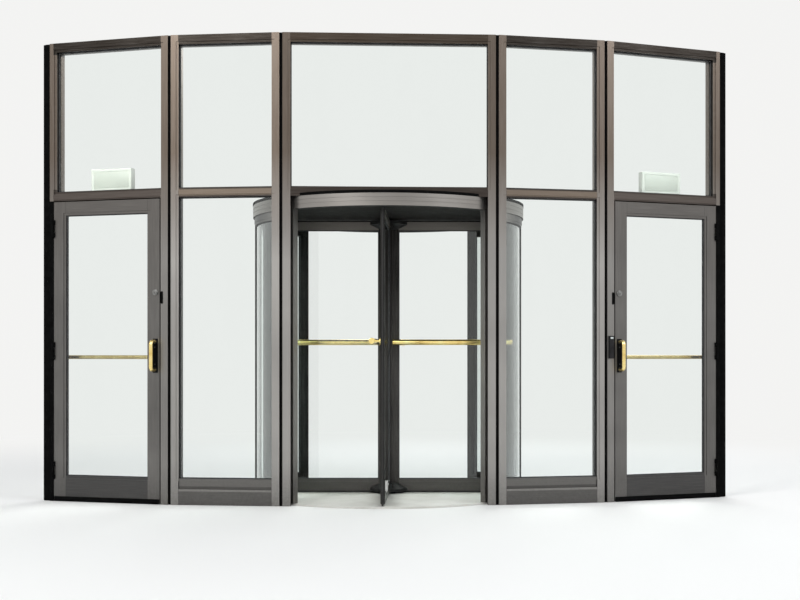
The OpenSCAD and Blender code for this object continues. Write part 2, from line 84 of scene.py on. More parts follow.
# Revolving door
REST_TURN = math.radians(-3)
DRUM_R, DRUM_WALL = 1.0, 0.045
DRUM_MID = DRUM_R - DRUM_WALL / 2
CANOPY_PROUD, CANOPY_H = 0.010, 0.085
CANOPY_R = DRUM_R + CANOPY_PROUD
SOFFIT_Z, CANOPY_TOP = TRANSOM_Z - CANOPY_H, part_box("canopy_fascia")[1].z
SWEEP_T = 0.012
WING_T, WING_STILE, SHAFT_W = 0.030, 0.045, 0.060
WING_R = 0.928
WING_Z0, WING_Z1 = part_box("front_wing_frame")[0].z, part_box("front_wing_frame")[1].z
WING_GLASS_Z0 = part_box("wing_glass")[0].z + PANE_BITE
WING_GLASS_Z1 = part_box("wing_glass")[1].z - PANE_BITE
WING_BAR_Z = (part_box("wing_push_bars")[0].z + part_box("wing_push_bars")[1].z) / 2 - WING_BAR_DROP
DRUM_GLASS_Z0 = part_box("right_drum_glass")[0].z + PANE_BITE
DRUM_GLASS_Z1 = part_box("right_drum_glass")[1].z - PANE_BITE
LEAF_BAR_D, WING_BAR_D, BAR_OFF = 0.028, 0.042, 0.060

# Angles round the drum, in degrees from straight ahead
THROAT_POST, MOUTH_POST, JAMB_STEP = 0.045, 0.075, 1.5
THROAT_A = math.degrees(math.asin((CENTRE_BAY / 2 - JAMB_IN - THROAT_POST) / (DRUM_R - DRUM_WALL)))
JAMB_A = math.degrees(math.acos((-FRONT - DEPTH) / DRUM_R)) + JAMB_STEP
POST_A = 2 * math.degrees(math.asin(THROAT_POST / 2 / DRUM_MID))
MOUTH_POST_A = 2 * math.degrees(math.asin(MOUTH_POST / 2 / DRUM_MID))
DRUM_LITES = [(JAMB_A, 90 - POST_A / 2), (90 + POST_A / 2, 180 - THROAT_A - MOUTH_POST_A)]

# Camera: the photograph's place and direction, with a longer lens so that the screen fills the frame
CAMERA_PLACE = (-0.068, -10.05, 1.038)
CAMERA_TURN = math.radians(-2.931)
LENS, SHIFT_X, SHIFT_Y = 60.0, -0.060, 0.070

camera = bpy.data.objects.new("camera", bpy.data.cameras.new("camera"))
camera.data.lens = LENS
camera.data.sensor_width = 36
camera.data.shift_x, camera.data.shift_y = SHIFT_X, SHIFT_Y
camera.location = CAMERA_PLACE
camera.rotation_euler = (math.pi / 2, 0, CAMERA_TURN)
scene.collection.objects.link(camera)
scene.camera = camera
scene.view_settings.view_transform = "Standard"


# Places

ORIGIN, MIRROR = Matrix.Identity(4), Matrix.Scale(-1, 4, (1, 0, 0))
IN_CENTRE = Matrix.Translation((-CENTRE_BAY / 2, FRONT, 0))
IN_SIDE = Matrix.Translation((CENTRE_BAY / 2, FRONT, 0)) @ Matrix.Rotation(TURN, 4, "Z")
IN_OUTER = Matrix.Translation(
    (CENTRE_BAY / 2 + SIDE_BAY * math.cos(TURN), FRONT + SIDE_BAY * math.sin(TURN), 0)
) @ Matrix.Rotation(2 * TURN, 4, "Z")
SIDES = {"right": ORIGIN, "left": MIRROR}
WINGS = {"front": 0, "right": 1, "back": 2, "left": 3}


def in_wing(k):
    """A wing's own frame: x outwards, y = 0 on its following face, z up."""
    turned = Matrix.Rotation(REST_TURN + math.radians(90 * k - 90), 4, "Z")
    return turned @ Matrix.Translation((0, -WING_T / 2, 0))


# Materials

JOINT_W, BEAD_W = 0.0014, 0.018
# SHADE_TONE is painted shade on the bars' sides, and also the tone of their hairline joints
GRAIN_TONE, SHADE_TONE, LOW_SPECK_TONE = (0.42, 0.40, 0.37), (0.012, 0.012, 0.012), (0.052, 0.049, 0.046)
GRAIN_FINE, GRAIN_LONG = 60.0, 1.2
# How much of a bar's side keeps the tone of its front and of its back; between them the side gets painted
# shade
EDGE_FRONT, EDGE_BACK = 0.0075, 0.007


def feed(tree, socket, value):
    """Links another node's socket to a socket, or sets it to a number or colour."""
    if isinstance(value, bpy.types.NodeSocket):
        tree.links.new(value, socket)
    else:
        socket.default_value = value


def made(tree, kind, inputs, output=0):
    """An output of a new node, whose inputs are linked or set by name."""
    node = tree.nodes.new(kind)
    for name, value in inputs.items():
        feed(tree, node.inputs[name], value)
    return node.outputs[output]


def shader(name):
    """A new material's node tree, its principled shader, and the object's own coordinates."""
    material = bpy.data.materials.new(name)
    material.use_nodes = True
    tree = material.node_tree
    return material, tree, tree.nodes["Principled BSDF"], made(tree, "ShaderNodeTexCoord", {}, "Object")


def coat(tree, principled, tone, roughness, metallic=0.0):
    """Gives a shader its colour, roughness and metalness."""
    for name, value in (("Base Color", tone), ("Roughness", roughness), ("Metallic", metallic)):
        feed(tree, principled.inputs[name], value)


def axes(tree, place):
    """The X, Y and Z of the coordinates."""
    split = tree.nodes.new("ShaderNodeSeparateXYZ")
    tree.links.new(place, split.inputs["Vector"])
    return split.outputs


def length_of(tree, vector):
    """How long a vector is."""
    node = tree.nodes.new("ShaderNodeVectorMath")
    node.operation = "LENGTH"
    tree.links.new(vector, node.inputs[0])
    return node.outputs["Value"]


def stretched(tree, place, scale):
    """The coordinates, squeezed or stretched along each axis."""
    return made(tree, "ShaderNodeMapping", {"Vector": place, "Scale": scale}, "Vector")


def noise(tree, place, scale, detail=2.0, roughness=0.5):
    """Cloudy noise over the coordinates."""
    inputs = {"Vector": place, "Scale": scale, "Detail": detail, "Roughness": roughness}
    return made(tree, "ShaderNodeTexNoise", inputs, "Fac")


def drawn_grain(tree, place):
    """Streaks, over coordinates that are stretched along a bar."""
    return noise(tree, place, 4.0, 3.0, 0.6)


def ramp(tree, value, stops):
    """A colour ramp over value; stops are (position, colour) pairs."""
    node = tree.nodes.new("ShaderNodeValToRGB")
    while len(node.color_ramp.elements) < len(stops):
        node.color_ramp.elements.new(0.5)
    for element, (position, colour) in zip(node.color_ramp.elements, stops):
        element.position = position
        element.color = (*colour, 1)
    tree.links.new(value, node.inputs["Fac"])
    return node.outputs["Color"]


def scaled(tone, times):
    """A tone made lighter or darker."""
    return tuple(min(1.0, times * c) for c in tone)


def spread(tree, value, low, high, from_low=0.0, from_high=1.0):
    """value moved from one range to another."""
    inputs = {"Value": value, "From Min": from_low, "From Max": from_high, "To Min": low, "To Max": high}
    return made(tree, "ShaderNodeMapRange", inputs, "Result")


def blend_colours(tree, factor, first, second):
    """The first colour where factor is 0, the second where it is 1."""
    node = tree.nodes.new("ShaderNodeMix")
    node.data_type = "RGBA"
    tree.links.new(factor, node.inputs["Factor"])
    for socket, colour in (("A", first), ("B", second)):
        target = [s for s in node.inputs if s.name == socket and s.type == "RGBA"][0]
        feed(tree, target, (*colour, 1) if isinstance(colour, tuple) else colour)
    return [s for s in node.outputs if s.type == "RGBA"][0]


def mix_shaders(tree, factor, first, second, output):
    """The first shader where factor is 0, the second where it is 1, on the tree's output node."""
    mix = tree.nodes.new("ShaderNodeMixShader")
    for socket, value in zip(mix.inputs, (factor, first, second)):
        tree.links.new(value, socket)
    tree.links.new(mix.outputs[0], tree.nodes[output].inputs["Surface"])


def bump(tree, principled, height, strength, distance):
    """Fine relief on a shader."""
    inputs = {"Height": height, "Strength": strength, "Distance": distance}
    tree.links.new(made(tree, "ShaderNodeBump", inputs, "Normal"), principled.inputs["Normal"])


def maths(tree, operation, first, second=None, third=None):
    """A sum or a comparison of sockets and numbers."""
    node = tree.nodes.new("ShaderNodeMath")
    node.operation = operation
    for socket, value in zip(node.inputs, (first, second, third)):
        if value is not None:
            feed(tree, socket, value)
    return node.outputs[0]


def near(tree, value, low, high):
    """1 where value lies between low and high, otherwise 0."""
    return maths(tree, "COMPARE", value, (low + high) / 2, (high - low) / 2)


def either(tree, *masks):
    """1 where any of the masks is 1."""
    total = masks[0]
    for mask in masks[1:]:
        total = maths(tree, "MAXIMUM", total, mask)
    return total


def both(tree, first, second):
    """1 where both masks are 1."""
    return maths(tree, "MULTIPLY", first, second)


def flipped(tree, mask):
    """1 where the mask is 0."""
    return maths(tree, "SUBTRACT", 1.0, mask)


def in_bay(tree, place, bay):
    """How far a point lies along a bay and behind its face; bays count 0, 1, 2 from the middle."""
    origin = (IN_CENTRE, IN_SIDE, IN_OUTER)[bay].to_translation()
    point = axes(tree, place)
    across = point["X"] if bay == 0 else maths(tree, "ABSOLUTE", point["X"])
    x, y = maths(tree, "SUBTRACT", across, origin.x), maths(tree, "SUBTRACT", point["Y"], origin.y)
    sine, cosine = math.sin(bay * TURN), math.cos(bay * TURN)
    along = maths(tree, "ADD", maths(tree, "MULTIPLY", x, cosine), maths(tree, "MULTIPLY", y, sine))
    behind = maths(tree, "SUBTRACT", maths(tree, "MULTIPLY", y, cosine), maths(tree, "MULTIPLY", x, sine))
    return along, behind


def along_wing(tree, place):
    """How far a point lies from the axis, along any of the four wings."""
    turned = made(tree, "ShaderNodeMapping", {"Vector": place, "Rotation": (0, 0, -REST_TURN)}, "Vector")
    point = axes(tree, turned)
    return maths(tree, "MAXIMUM", maths(tree, "ABSOLUTE", point["X"]), maths(tree, "ABSOLUTE", point["Y"]))


def anodised(name, light, dark, bay=None, opening=None, lites=(), rails=(), bands=(), high=None,
             rise=(1.7, 2.45), deep=None, open_rail=None, depth=DEPTH):
    """Satin anodised aluminium bars: cloudy tone, drawn grain along each bar, darker specks towards the
    floor.

    opening names the inner edges of a bay's or wing's two stiles. Between them the bars run crosswise, with
    a hairline joint at both ends except beside the lites. rails and bands are (from, to, tone) by height and
    by the distance along, and their tones are painted light and shade. high is the tone of painted shade
    that the bars reach at their top, over the heights in rise, and deep that of the painted shade on what
    stands deeper in the building. The sides of a bay's bars, behind its face, get painted shade, except at
    the heights of open_rail and behind the panes above the transom bar.
    """
    material, tree, principled, place = shader(name)
    point = axes(tree, place)
    height = point["Z"]
    tone = ramp(tree, noise(tree, place, 2.3, 3.0), [(0.32, dark), (0.68, light)])
    # Painted shade towards the top of the bars
    if high:
        tone = blend_colours(tree, spread(tree, height, 0.0, 1.0, *rise), tone, high)
    # Painted shade on what stands deeper in the building
    if deep:
        tone = blend_colours(tree, spread(tree, point["Y"], 0.0, 1.0, -0.60, -0.35), tone, deep)
    grain = drawn_grain(tree, stretched(tree, place, (GRAIN_FINE, GRAIN_FINE, GRAIN_LONG)))
    if opening:
        distance, behind = in_bay(tree, place, bay) if bay is not None else (along_wing(tree, place), None)
        crosswise = near(tree, distance, *opening)
        along = maths(tree, "MULTIPLY", distance, GRAIN_LONG)
        upward = maths(tree, "MULTIPLY", height, GRAIN_FINE)
        across = made(tree, "ShaderNodeCombineXYZ", {"X": along, "Z": upward}, "Vector")
        choice = {"Factor": crosswise, "A": grain, "B": drawn_grain(tree, across)}
        grain = made(tree, "ShaderNodeMix", choice, "Result")
        # Painted light and shade: rail tones by height, band tones along the bars
        for low, top, rail_tone in rails:
            tone = blend_colours(tree, both(tree, crosswise, near(tree, height, low, top)), tone, rail_tone)
        for start, stop, band_tone in bands:
            tone = blend_colours(tree, near(tree, distance, start, stop), tone, band_tone)
    tone = blend_colours(tree, spread(tree, grain, 0.0, 0.10, 0.45, 0.75), tone, GRAIN_TONE)
    if opening:
        if behind is not None:
            # Painted shade on the sides of a bay's bars behind its face
            side = near(tree, behind, EDGE_FRONT, depth - EDGE_BACK)
            past_pane = maths(tree, "GREATER_THAN", behind, GLASS_SET + 0.006)
            over_transom = maths(tree, "GREATER_THAN", height, TRANSOM_TOP + 0.0005)
            side = both(tree, side, flipped(tree, both(tree, past_pane, over_transom)))
            if open_rail:
                side = both(tree, side, flipped(tree, near(tree, height, *open_rail)))
            tone = blend_colours(tree, spread(tree, side, 0.0, 0.8), tone, SHADE_TONE)
        joints = either(tree, *(near(tree, distance, x - JOINT_W / 2, x + JOINT_W / 2) for x in opening))
        for low, top in lites:
            joints = both(tree, joints, flipped(tree, near(tree, height, low - BEAD_W, top + BEAD_W)))
        tone = blend_colours(tree, joints, tone, SHADE_TONE)
    # Darker specks towards the floor
    specks = noise(tree, place, 55.0, 4.0, 0.65)
    low_specks = both(tree, spread(tree, height, 0.55, 0.0, 0.0, 0.30), spread(tree, specks, 0.5, 1.0, 0.3, 0.7))
    tone = blend_colours(tree, low_specks, tone, LOW_SPECK_TONE)
    coat(tree, principled, tone, spread(tree, grain, 0.30, 0.44), 0.9)
    bump(tree, principled, noise(tree, place, 900.0), 0.12, 0.0004)
    return material


def canopy_metal(name):
    """The canopy's curved fascia in the frames' bronze, with its flange underneath painted black as shade."""
    material, tree, principled, place = shader(name)
    point = axes(tree, place)
    plan = made(tree, "ShaderNodeCombineXYZ", {"X": point["X"], "Y": point["Y"]}, "Vector")
    stops = [(0.32, (0.225, 0.212, 0.198)), (0.68, (0.275, 0.260, 0.244))]
    tone = ramp(tree, noise(tree, place, 2.3, 3.0), stops)
    drawn = drawn_grain(tree, stretched(tree, place, (GRAIN_LONG, GRAIN_LONG, GRAIN_FINE)))
    tone = blend_colours(tree, spread(tree, drawn, 0.0, 0.14, 0.45, 0.75), tone, GRAIN_TONE)
    # Painted shade: the flange beneath the fascia goes black and matt
    inner = maths(tree, "LESS_THAN", length_of(tree, plan), CANOPY_R - 0.0004)
    under = both(tree, inner, maths(tree, "LESS_THAN", point["Z"], SOFFIT_Z + 0.0045))
    tone = blend_colours(tree, under, tone, (0.014, 0.014, 0.014))
    matt = maths(tree, "MAXIMUM", spread(tree, drawn, 0.30, 0.42), spread(tree, under, 0.0, 0.95))
    coat(tree, principled, tone, matt, spread(tree, under, 0.9, 0.0))
    bump(tree, principled, noise(tree, place, 900.0), 0.12, 0.0004)
    return material


def clear_glass(name, tint):
    """Clear glass with a faint haze of dust, which lets lamp light through."""
    material, tree, principled, place = shader(name)
    smears = noise(tree, stretched(tree, place, (1, 1, 0.35)), 3.0, 5.0, 0.62)
    tone = blend_colours(tree, spread(tree, smears, 0.0, 0.25, 0.45, 0.9), tint, scaled(tint, 0.94))
    coat(tree, principled, tone, spread(tree, smears, 0.0, 0.035, 0.52, 0.85))
    principled.inputs["Transmission Weight"].default_value = 1.0
    principled.inputs["IOR"].default_value = 1.5
    clear = made(tree, "ShaderNodeBsdfTransparent", {"Color": (*tint, 1)})
    from_lamp = made(tree, "ShaderNodeLightPath", {}, "Is Shadow Ray")
    mix_shaders(tree, from_lamp, principled.outputs[0], clear, "Material Output")
    return material


def brass(name, bright=1.0):
    """Polished brass with hairline rubbing and slight tarnish; bright scales its tone, above 1 as painted
    light and below 1 as painted shade.
    """
    material, tree, principled, place = shader(name)
    tarnish = noise(tree, place, 14.0, 4.0, 0.6)
    stops = [(0.3, (0.74, 0.52, 0.17)), (0.5, (0.90, 0.70, 0.28)), (0.75, (0.98, 0.83, 0.42))]
    tone = ramp(tree, tarnish, [(at, scaled(colour, bright)) for at, colour in stops])
    coat(tree, principled, tone, spread(tree, tarnish, 0.14, 0.26), 1.0)
    bump(tree, principled, noise(tree, stretched(tree, place, (40, 40, 900)), 2.0), 0.05, 0.0003)
    return material


def bristle(name):
    """Brush strips: a fine dark speckle of hairs."""
    material, tree, principled, place = shader(name)
    hairs = noise(tree, place, 520.0)
    tone = ramp(tree, hairs, [(0.35, (0.005, 0.005, 0.005)), (0.7, (0.030, 0.029, 0.028))])
    coat(tree, principled, tone, 0.85)
    principled.inputs["Sheen Weight"].default_value = 0.08
    bump(tree, principled, hairs, 0.8, 0.001)
    return material


def honed_stone(name):
    """Light honed stone: soft clouds and darker speckles."""
    material, tree, principled, place = shader(name)
    clouds, specks = noise(tree, place, 3.2, 6.0, 0.6), noise(tree, place, 160.0, 3.0, 0.7)
    stops = [(0.3, (0.47, 0.455, 0.42)), (0.5, (0.58, 0.565, 0.53)), (0.72, (0.67, 0.66, 0.63))]
    flecked = spread(tree, specks, 0.0, 0.35, 0.56, 0.72)
    tone = blend_colours(tree, flecked, ramp(tree, clouds, stops), (0.40, 0.37, 0.32))
    coat(tree, principled, tone, spread(tree, clouds, 0.34, 0.5))
    bump(tree, principled, specks, 0.08, 0.0005)
    return material


def patchy(name, pattern, stops, rough, relief, metallic=0.0, shine=0.5):
    """A finish whose tone and roughness follow a noise pattern; relief is (scale, strength, distance)."""
    material, tree, principled, place = shader(name)
    patches = noise(tree, place, *pattern)
    coat(tree, principled, ramp(tree, patches, stops), spread(tree, patches, *rough), metallic)
    principled.inputs["Specular IOR Level"].default_value = shine
    grain, strength, distance = relief
    bump(tree, principled, noise(tree, place, grain), strength, distance)
    return material


def rubber(name, tone):
    """Black glazing rubber, matt, with a bloom of dust."""
    stops = [(0.35, tone), (0.8, scaled(tone, 3.2))]
    return patchy(name, (35.0, 5.0, 0.65), stops, (0.62, 0.82), (700.0, 0.2, 0.0003))


def enamel(name, tone, roughness):
    """Sprayed enamel with a slight orange peel."""
    stops = [(0.3, scaled(tone, 0.93)), (0.75, tone)]
    return patchy(name, (9.0, 3.0), stops, (roughness, roughness + 0.12), (420.0, 0.12, 0.0003))


def black_paint(name, tone, shine, low, high):
    """Black paint on steel, rubbed lighter in patches; low and high are its roughness."""
    stops = [(0.4, tone), (0.78, scaled(tone, 2.4))]
    return patchy(name, (26.0, 5.0, 0.7), stops, (low, high), (500.0, 0.1, 0.0003), shine=shine)


def moulded(name, tone, shine):
    """Moulded plastic with a fine spark-eroded grain."""
    stops = [(0.3, tone), (0.8, scaled(tone, 1.7))]
    return patchy(name, (20.0, 3.0), stops, (0.42, 0.42), (1400.0, 0.25, 0.0002), shine=shine)


def satin_steel(name, low, high):
    """Turned steel, rubbed between two tones."""
    stops = [(0.3, (low, low, 0.98 * low)), (0.75, (high, high, 0.97 * high))]
    return patchy(name, (90.0, 4.0, 0.6), stops, (0.24, 0.38), (1100.0, 0.08, 0.0002), metallic=1.0)


# Openings between the stiles, and the heights of panes and rails
CENTRE_OPENING, SIDE_OPENING = (JAMB_IN, CENTRE_BAY - JAMB_IN), (JAMB_IN, SIDE_BAY - JAMB_IN)
OUTER_OPENING, LEAF_OPENING = (JAMB_IN, OUTER_BAY - FACE), (LEAF_X0 + STILE, LEAF_X1 - STILE)
WING_OPENING, WING_LITE = (SHAFT_W / 2 + WING_STILE, WING_R - WING_STILE), (WING_GLASS_Z0, WING_GLASS_Z1)
LOW_LITE, HIGH_LITE, LEAF_LITE = (SILL_Z, TRANSOM_Z), (TRANSOM_TOP, HEAD_Z), (LEAF_GLASS_Z0, LEAF_GLASS_Z1)
TRANSOM_RAIL, HEAD_RAIL = (TRANSOM_Z - BEAD_W, TRANSOM_TOP + BEAD_W), (HEAD_Z - BEAD_W, SCREEN_H + 0.01)
LINE_H = 0.011
TRANSOM_MIDDLE = (TRANSOM_Z + LINE_H, TRANSOM_TOP - LINE_H)
# Heights of the sidelights' stepped base rail. The rail tones below paint a highlight on the base's top edge
# and shade just above the step.
BASE_Z = 0.110
BASE_EDGE, STEP_Z, STEP_SHADE = BASE_Z - 0.014, BASE_Z + 0.0003, BASE_Z + 0.020
# Tones of one bronze finish. The tone the frames reach at their top and the head rails' tone are painted
# shade, and so are the outer bays' darker tones.
FRAME_LIGHT, FRAME_DARK, FRAME_TOP_SHADE = (0.340, 0.328, 0.314), (0.284, 0.274, 0.263), (0.122, 0.098, 0.080)
OUTER_LIGHT, OUTER_DARK, HEAD_SHADE_TONE = (0.240, 0.231, 0.221), (0.197, 0.190, 0.182), (0.020, 0.016, 0.013)

# The rails' tones are painted light and shade: darker transom, head and base rails, and transom bars lighter
# in their middle than at their edges.
centre_bronze = anodised(
    "centre_bronze", FRAME_LIGHT, FRAME_DARK, 0, CENTRE_OPENING, [(0, SOFFIT_Z), HIGH_LITE], high=FRAME_TOP_SHADE,
    rails=[(*TRANSOM_RAIL, (0.044, 0.035, 0.030)), (*HEAD_RAIL, (0.058, 0.044, 0.033))],
)
side_bronze = anodised(
    "side_bronze", FRAME_LIGHT, FRAME_DARK, 1, SIDE_OPENING, [LOW_LITE, HIGH_LITE], high=FRAME_TOP_SHADE,
    rails=[
        (0, BASE_EDGE, (0.125, 0.121, 0.117)), (BASE_EDGE, STEP_Z, (0.260, 0.250, 0.240)),
        (STEP_Z, STEP_SHADE, (0.085, 0.082, 0.079)), (STEP_SHADE, SILL_Z + 0.01, (0.150, 0.145, 0.139)),
        (*TRANSOM_RAIL, (0.044, 0.036, 0.031)), (*TRANSOM_MIDDLE, (0.160, 0.128, 0.101)),
        (*HEAD_RAIL, HEAD_SHADE_TONE),
    ],
    open_rail=(STEP_Z, SILL_Z - 0.0003),
)
outer_bronze = anodised(
    "outer_bronze", OUTER_LIGHT, OUTER_DARK, 2, (JAMB_IN, HINGE_X), [(0, TRANSOM_Z), HIGH_LITE],
    high=FRAME_TOP_SHADE,
    rails=[
        (*TRANSOM_RAIL, (0.048, 0.039, 0.034)), (*TRANSOM_MIDDLE, (0.084, 0.070, 0.062)),
        (*HEAD_RAIL, HEAD_SHADE_TONE),
    ],
)
# The leaves' darker tones are painted shade on a copy of the frames' finish, with more painted shade on the
# bottom rail and towards the top.
leaf_bronze = anodised(
    "leaf_bronze", (0.155, 0.149, 0.143), (0.118, 0.114, 0.109), 2, LEAF_OPENING, [LEAF_LITE],
    rails=[(0, LEAF_GLASS_Z0 + BEAD_W, (0.069, 0.068, 0.068))],
    high=(0.100, 0.092, 0.086), rise=(1.3, 2.45), depth=LEAF_T,
)
# The wings' near black tones, darker towards the top, are painted shade inside the drum; their rails' tones
# are painted light and shade, and the band is painted shade on their outer stiles.
wing_bronze = anodised(
    "wing_bronze", (0.064, 0.061, 0.058), (0.044, 0.042, 0.040), None, WING_OPENING, [WING_LITE],
    rails=[
        (0, WING_GLASS_Z0 + BEAD_W, (0.100, 0.097, 0.092)),
        (WING_GLASS_Z1 - BEAD_W, 2.1, (0.190, 0.178, 0.162)),
    ],
    bands=[(WING_R - WING_STILE, WING_R + 0.001, (0.016, 0.016, 0.015))],
    high=(0.018, 0.017, 0.016), rise=(0.9, 1.6),
)
# The drum's frames are painted dark behind the front, as the shade inside the drum
drum_bronze = anodised(
    "drum_bronze", (0.320, 0.306, 0.290), (0.262, 0.250, 0.238), deep=(0.016, 0.015, 0.015),
)
cover_bronze = anodised("cover_bronze", (0.200, 0.192, 0.183), (0.155, 0.149, 0.142))
# The shaft's near black tone, darker towards the top, is painted shade inside the drum
shaft_bronze = anodised(
    "shaft_bronze", (0.060, 0.058, 0.055), (0.040, 0.039, 0.037), high=(0.016, 0.015, 0.014), rise=(0.9, 1.6),
)
fascia_bronze = canopy_metal("fascia_bronze")
turned_steel = satin_steel("turned_steel", 0.15, 0.30)
bolt_steel = satin_steel("bolt_steel", 0.42, 0.62)
pane_glass = clear_glass("pane_glass", (0.90, 0.935, 0.92))
drum_pane_glass = clear_glass("drum_pane_glass", (0.88, 0.925, 0.91))
polished_brass = brass("polished_brass")
# The leaves' push bars get a darker brass as painted shade, and the wings' bars a lighter brass as painted
# light
brass_painted_shade = brass("brass_painted_shade", 0.58)
brass_painted_light = brass("brass_painted_light", 1.14)
glazing_rubber = rubber("glazing_rubber", (0.022, 0.022, 0.023))
brush_black = bristle("brush_black")
floor_stone = honed_stone("floor_stone")
white_enamel = enamel("white_enamel", (0.74, 0.745, 0.70), 0.35)
dark_paint = black_paint("dark_paint", (0.020, 0.020, 0.021), 0.5, 0.38, 0.55)
trim_black = black_paint("trim_black", (0.003, 0.003, 0.003), 0.015, 0.7, 0.85)
hanger_black = black_paint("hanger_black", (0.010, 0.010, 0.010), 0.2, 0.5, 0.65)
# The drum's ceiling is painted black and matt as the shade beneath the canopy
soffit_shade_black = black_paint("soffit_shade_black", (0.020, 0.020, 0.019), 0.06, 0.8, 0.95)
reader_black = moulded("reader_black", (0.007, 0.007, 0.008), 0.2)
reader_window = moulded("reader_window", (0.42, 0.46, 0.45), 0.5)
box_panel = enamel("box_panel", (0.60, 0.615, 0.565), 0.3)

NODE_FINISH = {
    "drum_floor": floor_stone, "floor_bearing": dark_paint, "ceiling_bearing": dark_paint,
    "drum_ceiling": soffit_shade_black, "canopy_fascia": fascia_bronze, "canopy_cover": cover_bronze,
    "left_drum_frame": drum_bronze, "right_drum_frame": drum_bronze,
    "left_drum_glass": drum_pane_glass, "right_drum_glass": drum_pane_glass,
    "centre_frame": centre_bronze, "left_side_frame": side_bronze, "right_side_frame": side_bronze,
    "left_outer_frame": outer_bronze, "right_outer_frame": outer_bronze,
    "corner_posts": trim_black, "wall_trims": trim_black, "sign_boxes": white_enamel,
    "card_reader": reader_black, "jamb_knuckles": trim_black, "shaft": shaft_bronze,
    "wing_hangers": hanger_black, "wing_push_bars": polished_brass, "wing_sweeps": brush_black,
    "left_leaf_frame": leaf_bronze, "right_leaf_frame": leaf_bronze,
    "left_leaf_hinges": trim_black, "right_leaf_hinges": trim_black,
    "left_pull": polished_brass, "right_pull": polished_brass,
    "left_pull_plate": dark_paint, "right_pull_plate": dark_paint,
    "left_leaf_push_bar": brass_painted_shade, "right_leaf_push_bar": brass_painted_shade,
    "left_lock_cylinder": turned_steel, "right_lock_cylinder": turned_steel,
}
for name, node in nodes.items():
    finish = NODE_FINISH.get(name)
    if finish is None:
        finish = wing_bronze if name.endswith("_wing_frame") else pane_glass
    node.data.materials.clear()
    node.data.materials.append(finish)


# Modelling helpers. A piece is modelled in the frame of its bay or wing and then put in its place.

def begin():
    """Object mode, with nothing selected."""
    if bpy.context.object and bpy.context.object.mode != "OBJECT":
        bpy.ops.object.mode_set(mode="OBJECT")
    bpy.ops.object.select_all(action="DESELECT")


def only(piece):
    """Object mode, with this piece alone selected and active."""
    begin()
    piece.select_set(True)
    bpy.context.view_layer.objects.active = piece


def smoothed(piece, degrees):
    """The piece shaded smooth, except over edges sharper than that angle."""
    only(piece)
    bpy.ops.object.shade_smooth_by_angle(angle=math.radians(degrees))
    return piece


def baked(piece):
    """The piece's own place, turn and size go into its mesh."""
    only(piece)
    bpy.ops.object.transform_apply(location=True, rotation=True, scale=True)
    return piece


def pick(piece, test):
    """Edit mode, with those faces selected whose centre and normal pass the test."""
    if piece.mode != "OBJECT":
        bpy.ops.object.mode_set(mode="OBJECT")
    mesh = piece.data
    for part in (mesh.vertices, mesh.edges):
        part.foreach_set("select", [False] * len(part))
    mesh.polygons.foreach_set("select", [bool(test(f.center, f.normal)) for f in mesh.polygons])
    bpy.ops.object.mode_set(mode="EDIT")
    bpy.ops.mesh.select_mode(type="FACE")


def pick_points(piece, test):
    """Edit mode, with those points selected that pass the test."""
    if piece.mode != "OBJECT":
        bpy.ops.object.mode_set(mode="OBJECT")
    mesh = piece.data
    for part in (mesh.edges, mesh.polygons):
        part.foreach_set("select", [False] * len(part))
    mesh.vertices.foreach_set("select", [bool(test(v.co)) for v in mesh.vertices])
    scene.tool_settings.mesh_select_mode = (True, False, False)
    bpy.ops.object.mode_set(mode="EDIT")


def outwards():
    """All normals of the mesh in edit mode point outwards; then back to object mode."""
    bpy.ops.mesh.select_all(action="SELECT")
    bpy.ops.mesh.normals_make_consistent(inside=False)
    bpy.ops.object.mode_set(mode="OBJECT")


def edit_all():
    """Edit mode, with the whole mesh selected."""
    bpy.ops.object.mode_set(mode="EDIT")
    bpy.ops.mesh.select_all(action="SELECT")


def extruded(step):
    """What is selected in edit mode, drawn out by a step."""
    bpy.ops.mesh.extrude_region_move(TRANSFORM_OT_translate={"value": tuple(step)})


def fill_ends():
    """In edit mode: doubles are joined, open ends filled and normals turned outwards."""
    bpy.ops.mesh.select_all(action="SELECT")
    bpy.ops.mesh.remove_doubles(threshold=1e-6)
    bpy.ops.mesh.select_mode(type="EDGE")
    bpy.ops.mesh.select_all(action="DESELECT")
    bpy.ops.mesh.select_non_manifold()
    bpy.ops.mesh.fill_holes(sides=0)
    outwards()


def pick_tip(piece, tip):
    """Edit mode, with the face selected whose centre is at a point."""
    pick(piece, lambda centre, normal: (centre - tip).length < 1e-4)


def stepped(piece, rim, step):
    """The +y face of the piece is moved along y inside a rim."""
    pick(piece, lambda centre, normal: normal.y > 0.9)
    bpy.ops.mesh.inset(thickness=rim)
    bpy.ops.transform.translate(value=(0, step, 0))
    outwards()


def rounded(piece, width, segments=2):
    """The piece with its sharp edges rounded."""
    only(piece)
    bevel = piece.modifiers.new("round", "BEVEL")
    bevel.width, bevel.segments = width, segments
    bevel.limit_method, bevel.angle_limit = "ANGLE", math.radians(35)
    bevel.harden_normals = False
    bpy.ops.object.modifier_apply(modifier=bevel.name)
    return smoothed(piece, 40)


def put(piece, name, place, body, finish):
    """Names a finished piece, puts it in its place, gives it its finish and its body."""
    piece.name = piece.data.name = name
    piece.matrix_world = place @ piece.matrix_world
    baked(piece)
    if place.determinant() < 0:
        bpy.ops.object.mode_set(mode="EDIT")
        outwards()
    piece.data.materials.clear()
    piece.data.materials.append(finish)
    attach(piece, body)
    return piece


def copied(piece):
    """A copy with its own mesh."""
    twin = piece.copy()
    twin.data = piece.data.copy()
    scene.collection.objects.link(twin)
    return twin


def block(lo, hi):
    """A block between two corners."""
    begin()
    lo, hi = Vector(lo), Vector(hi)
    bpy.ops.mesh.primitive_cube_add(size=1, location=(lo + hi) / 2)
    piece = bpy.context.object
    piece.scale = hi - lo
    return baked(piece)


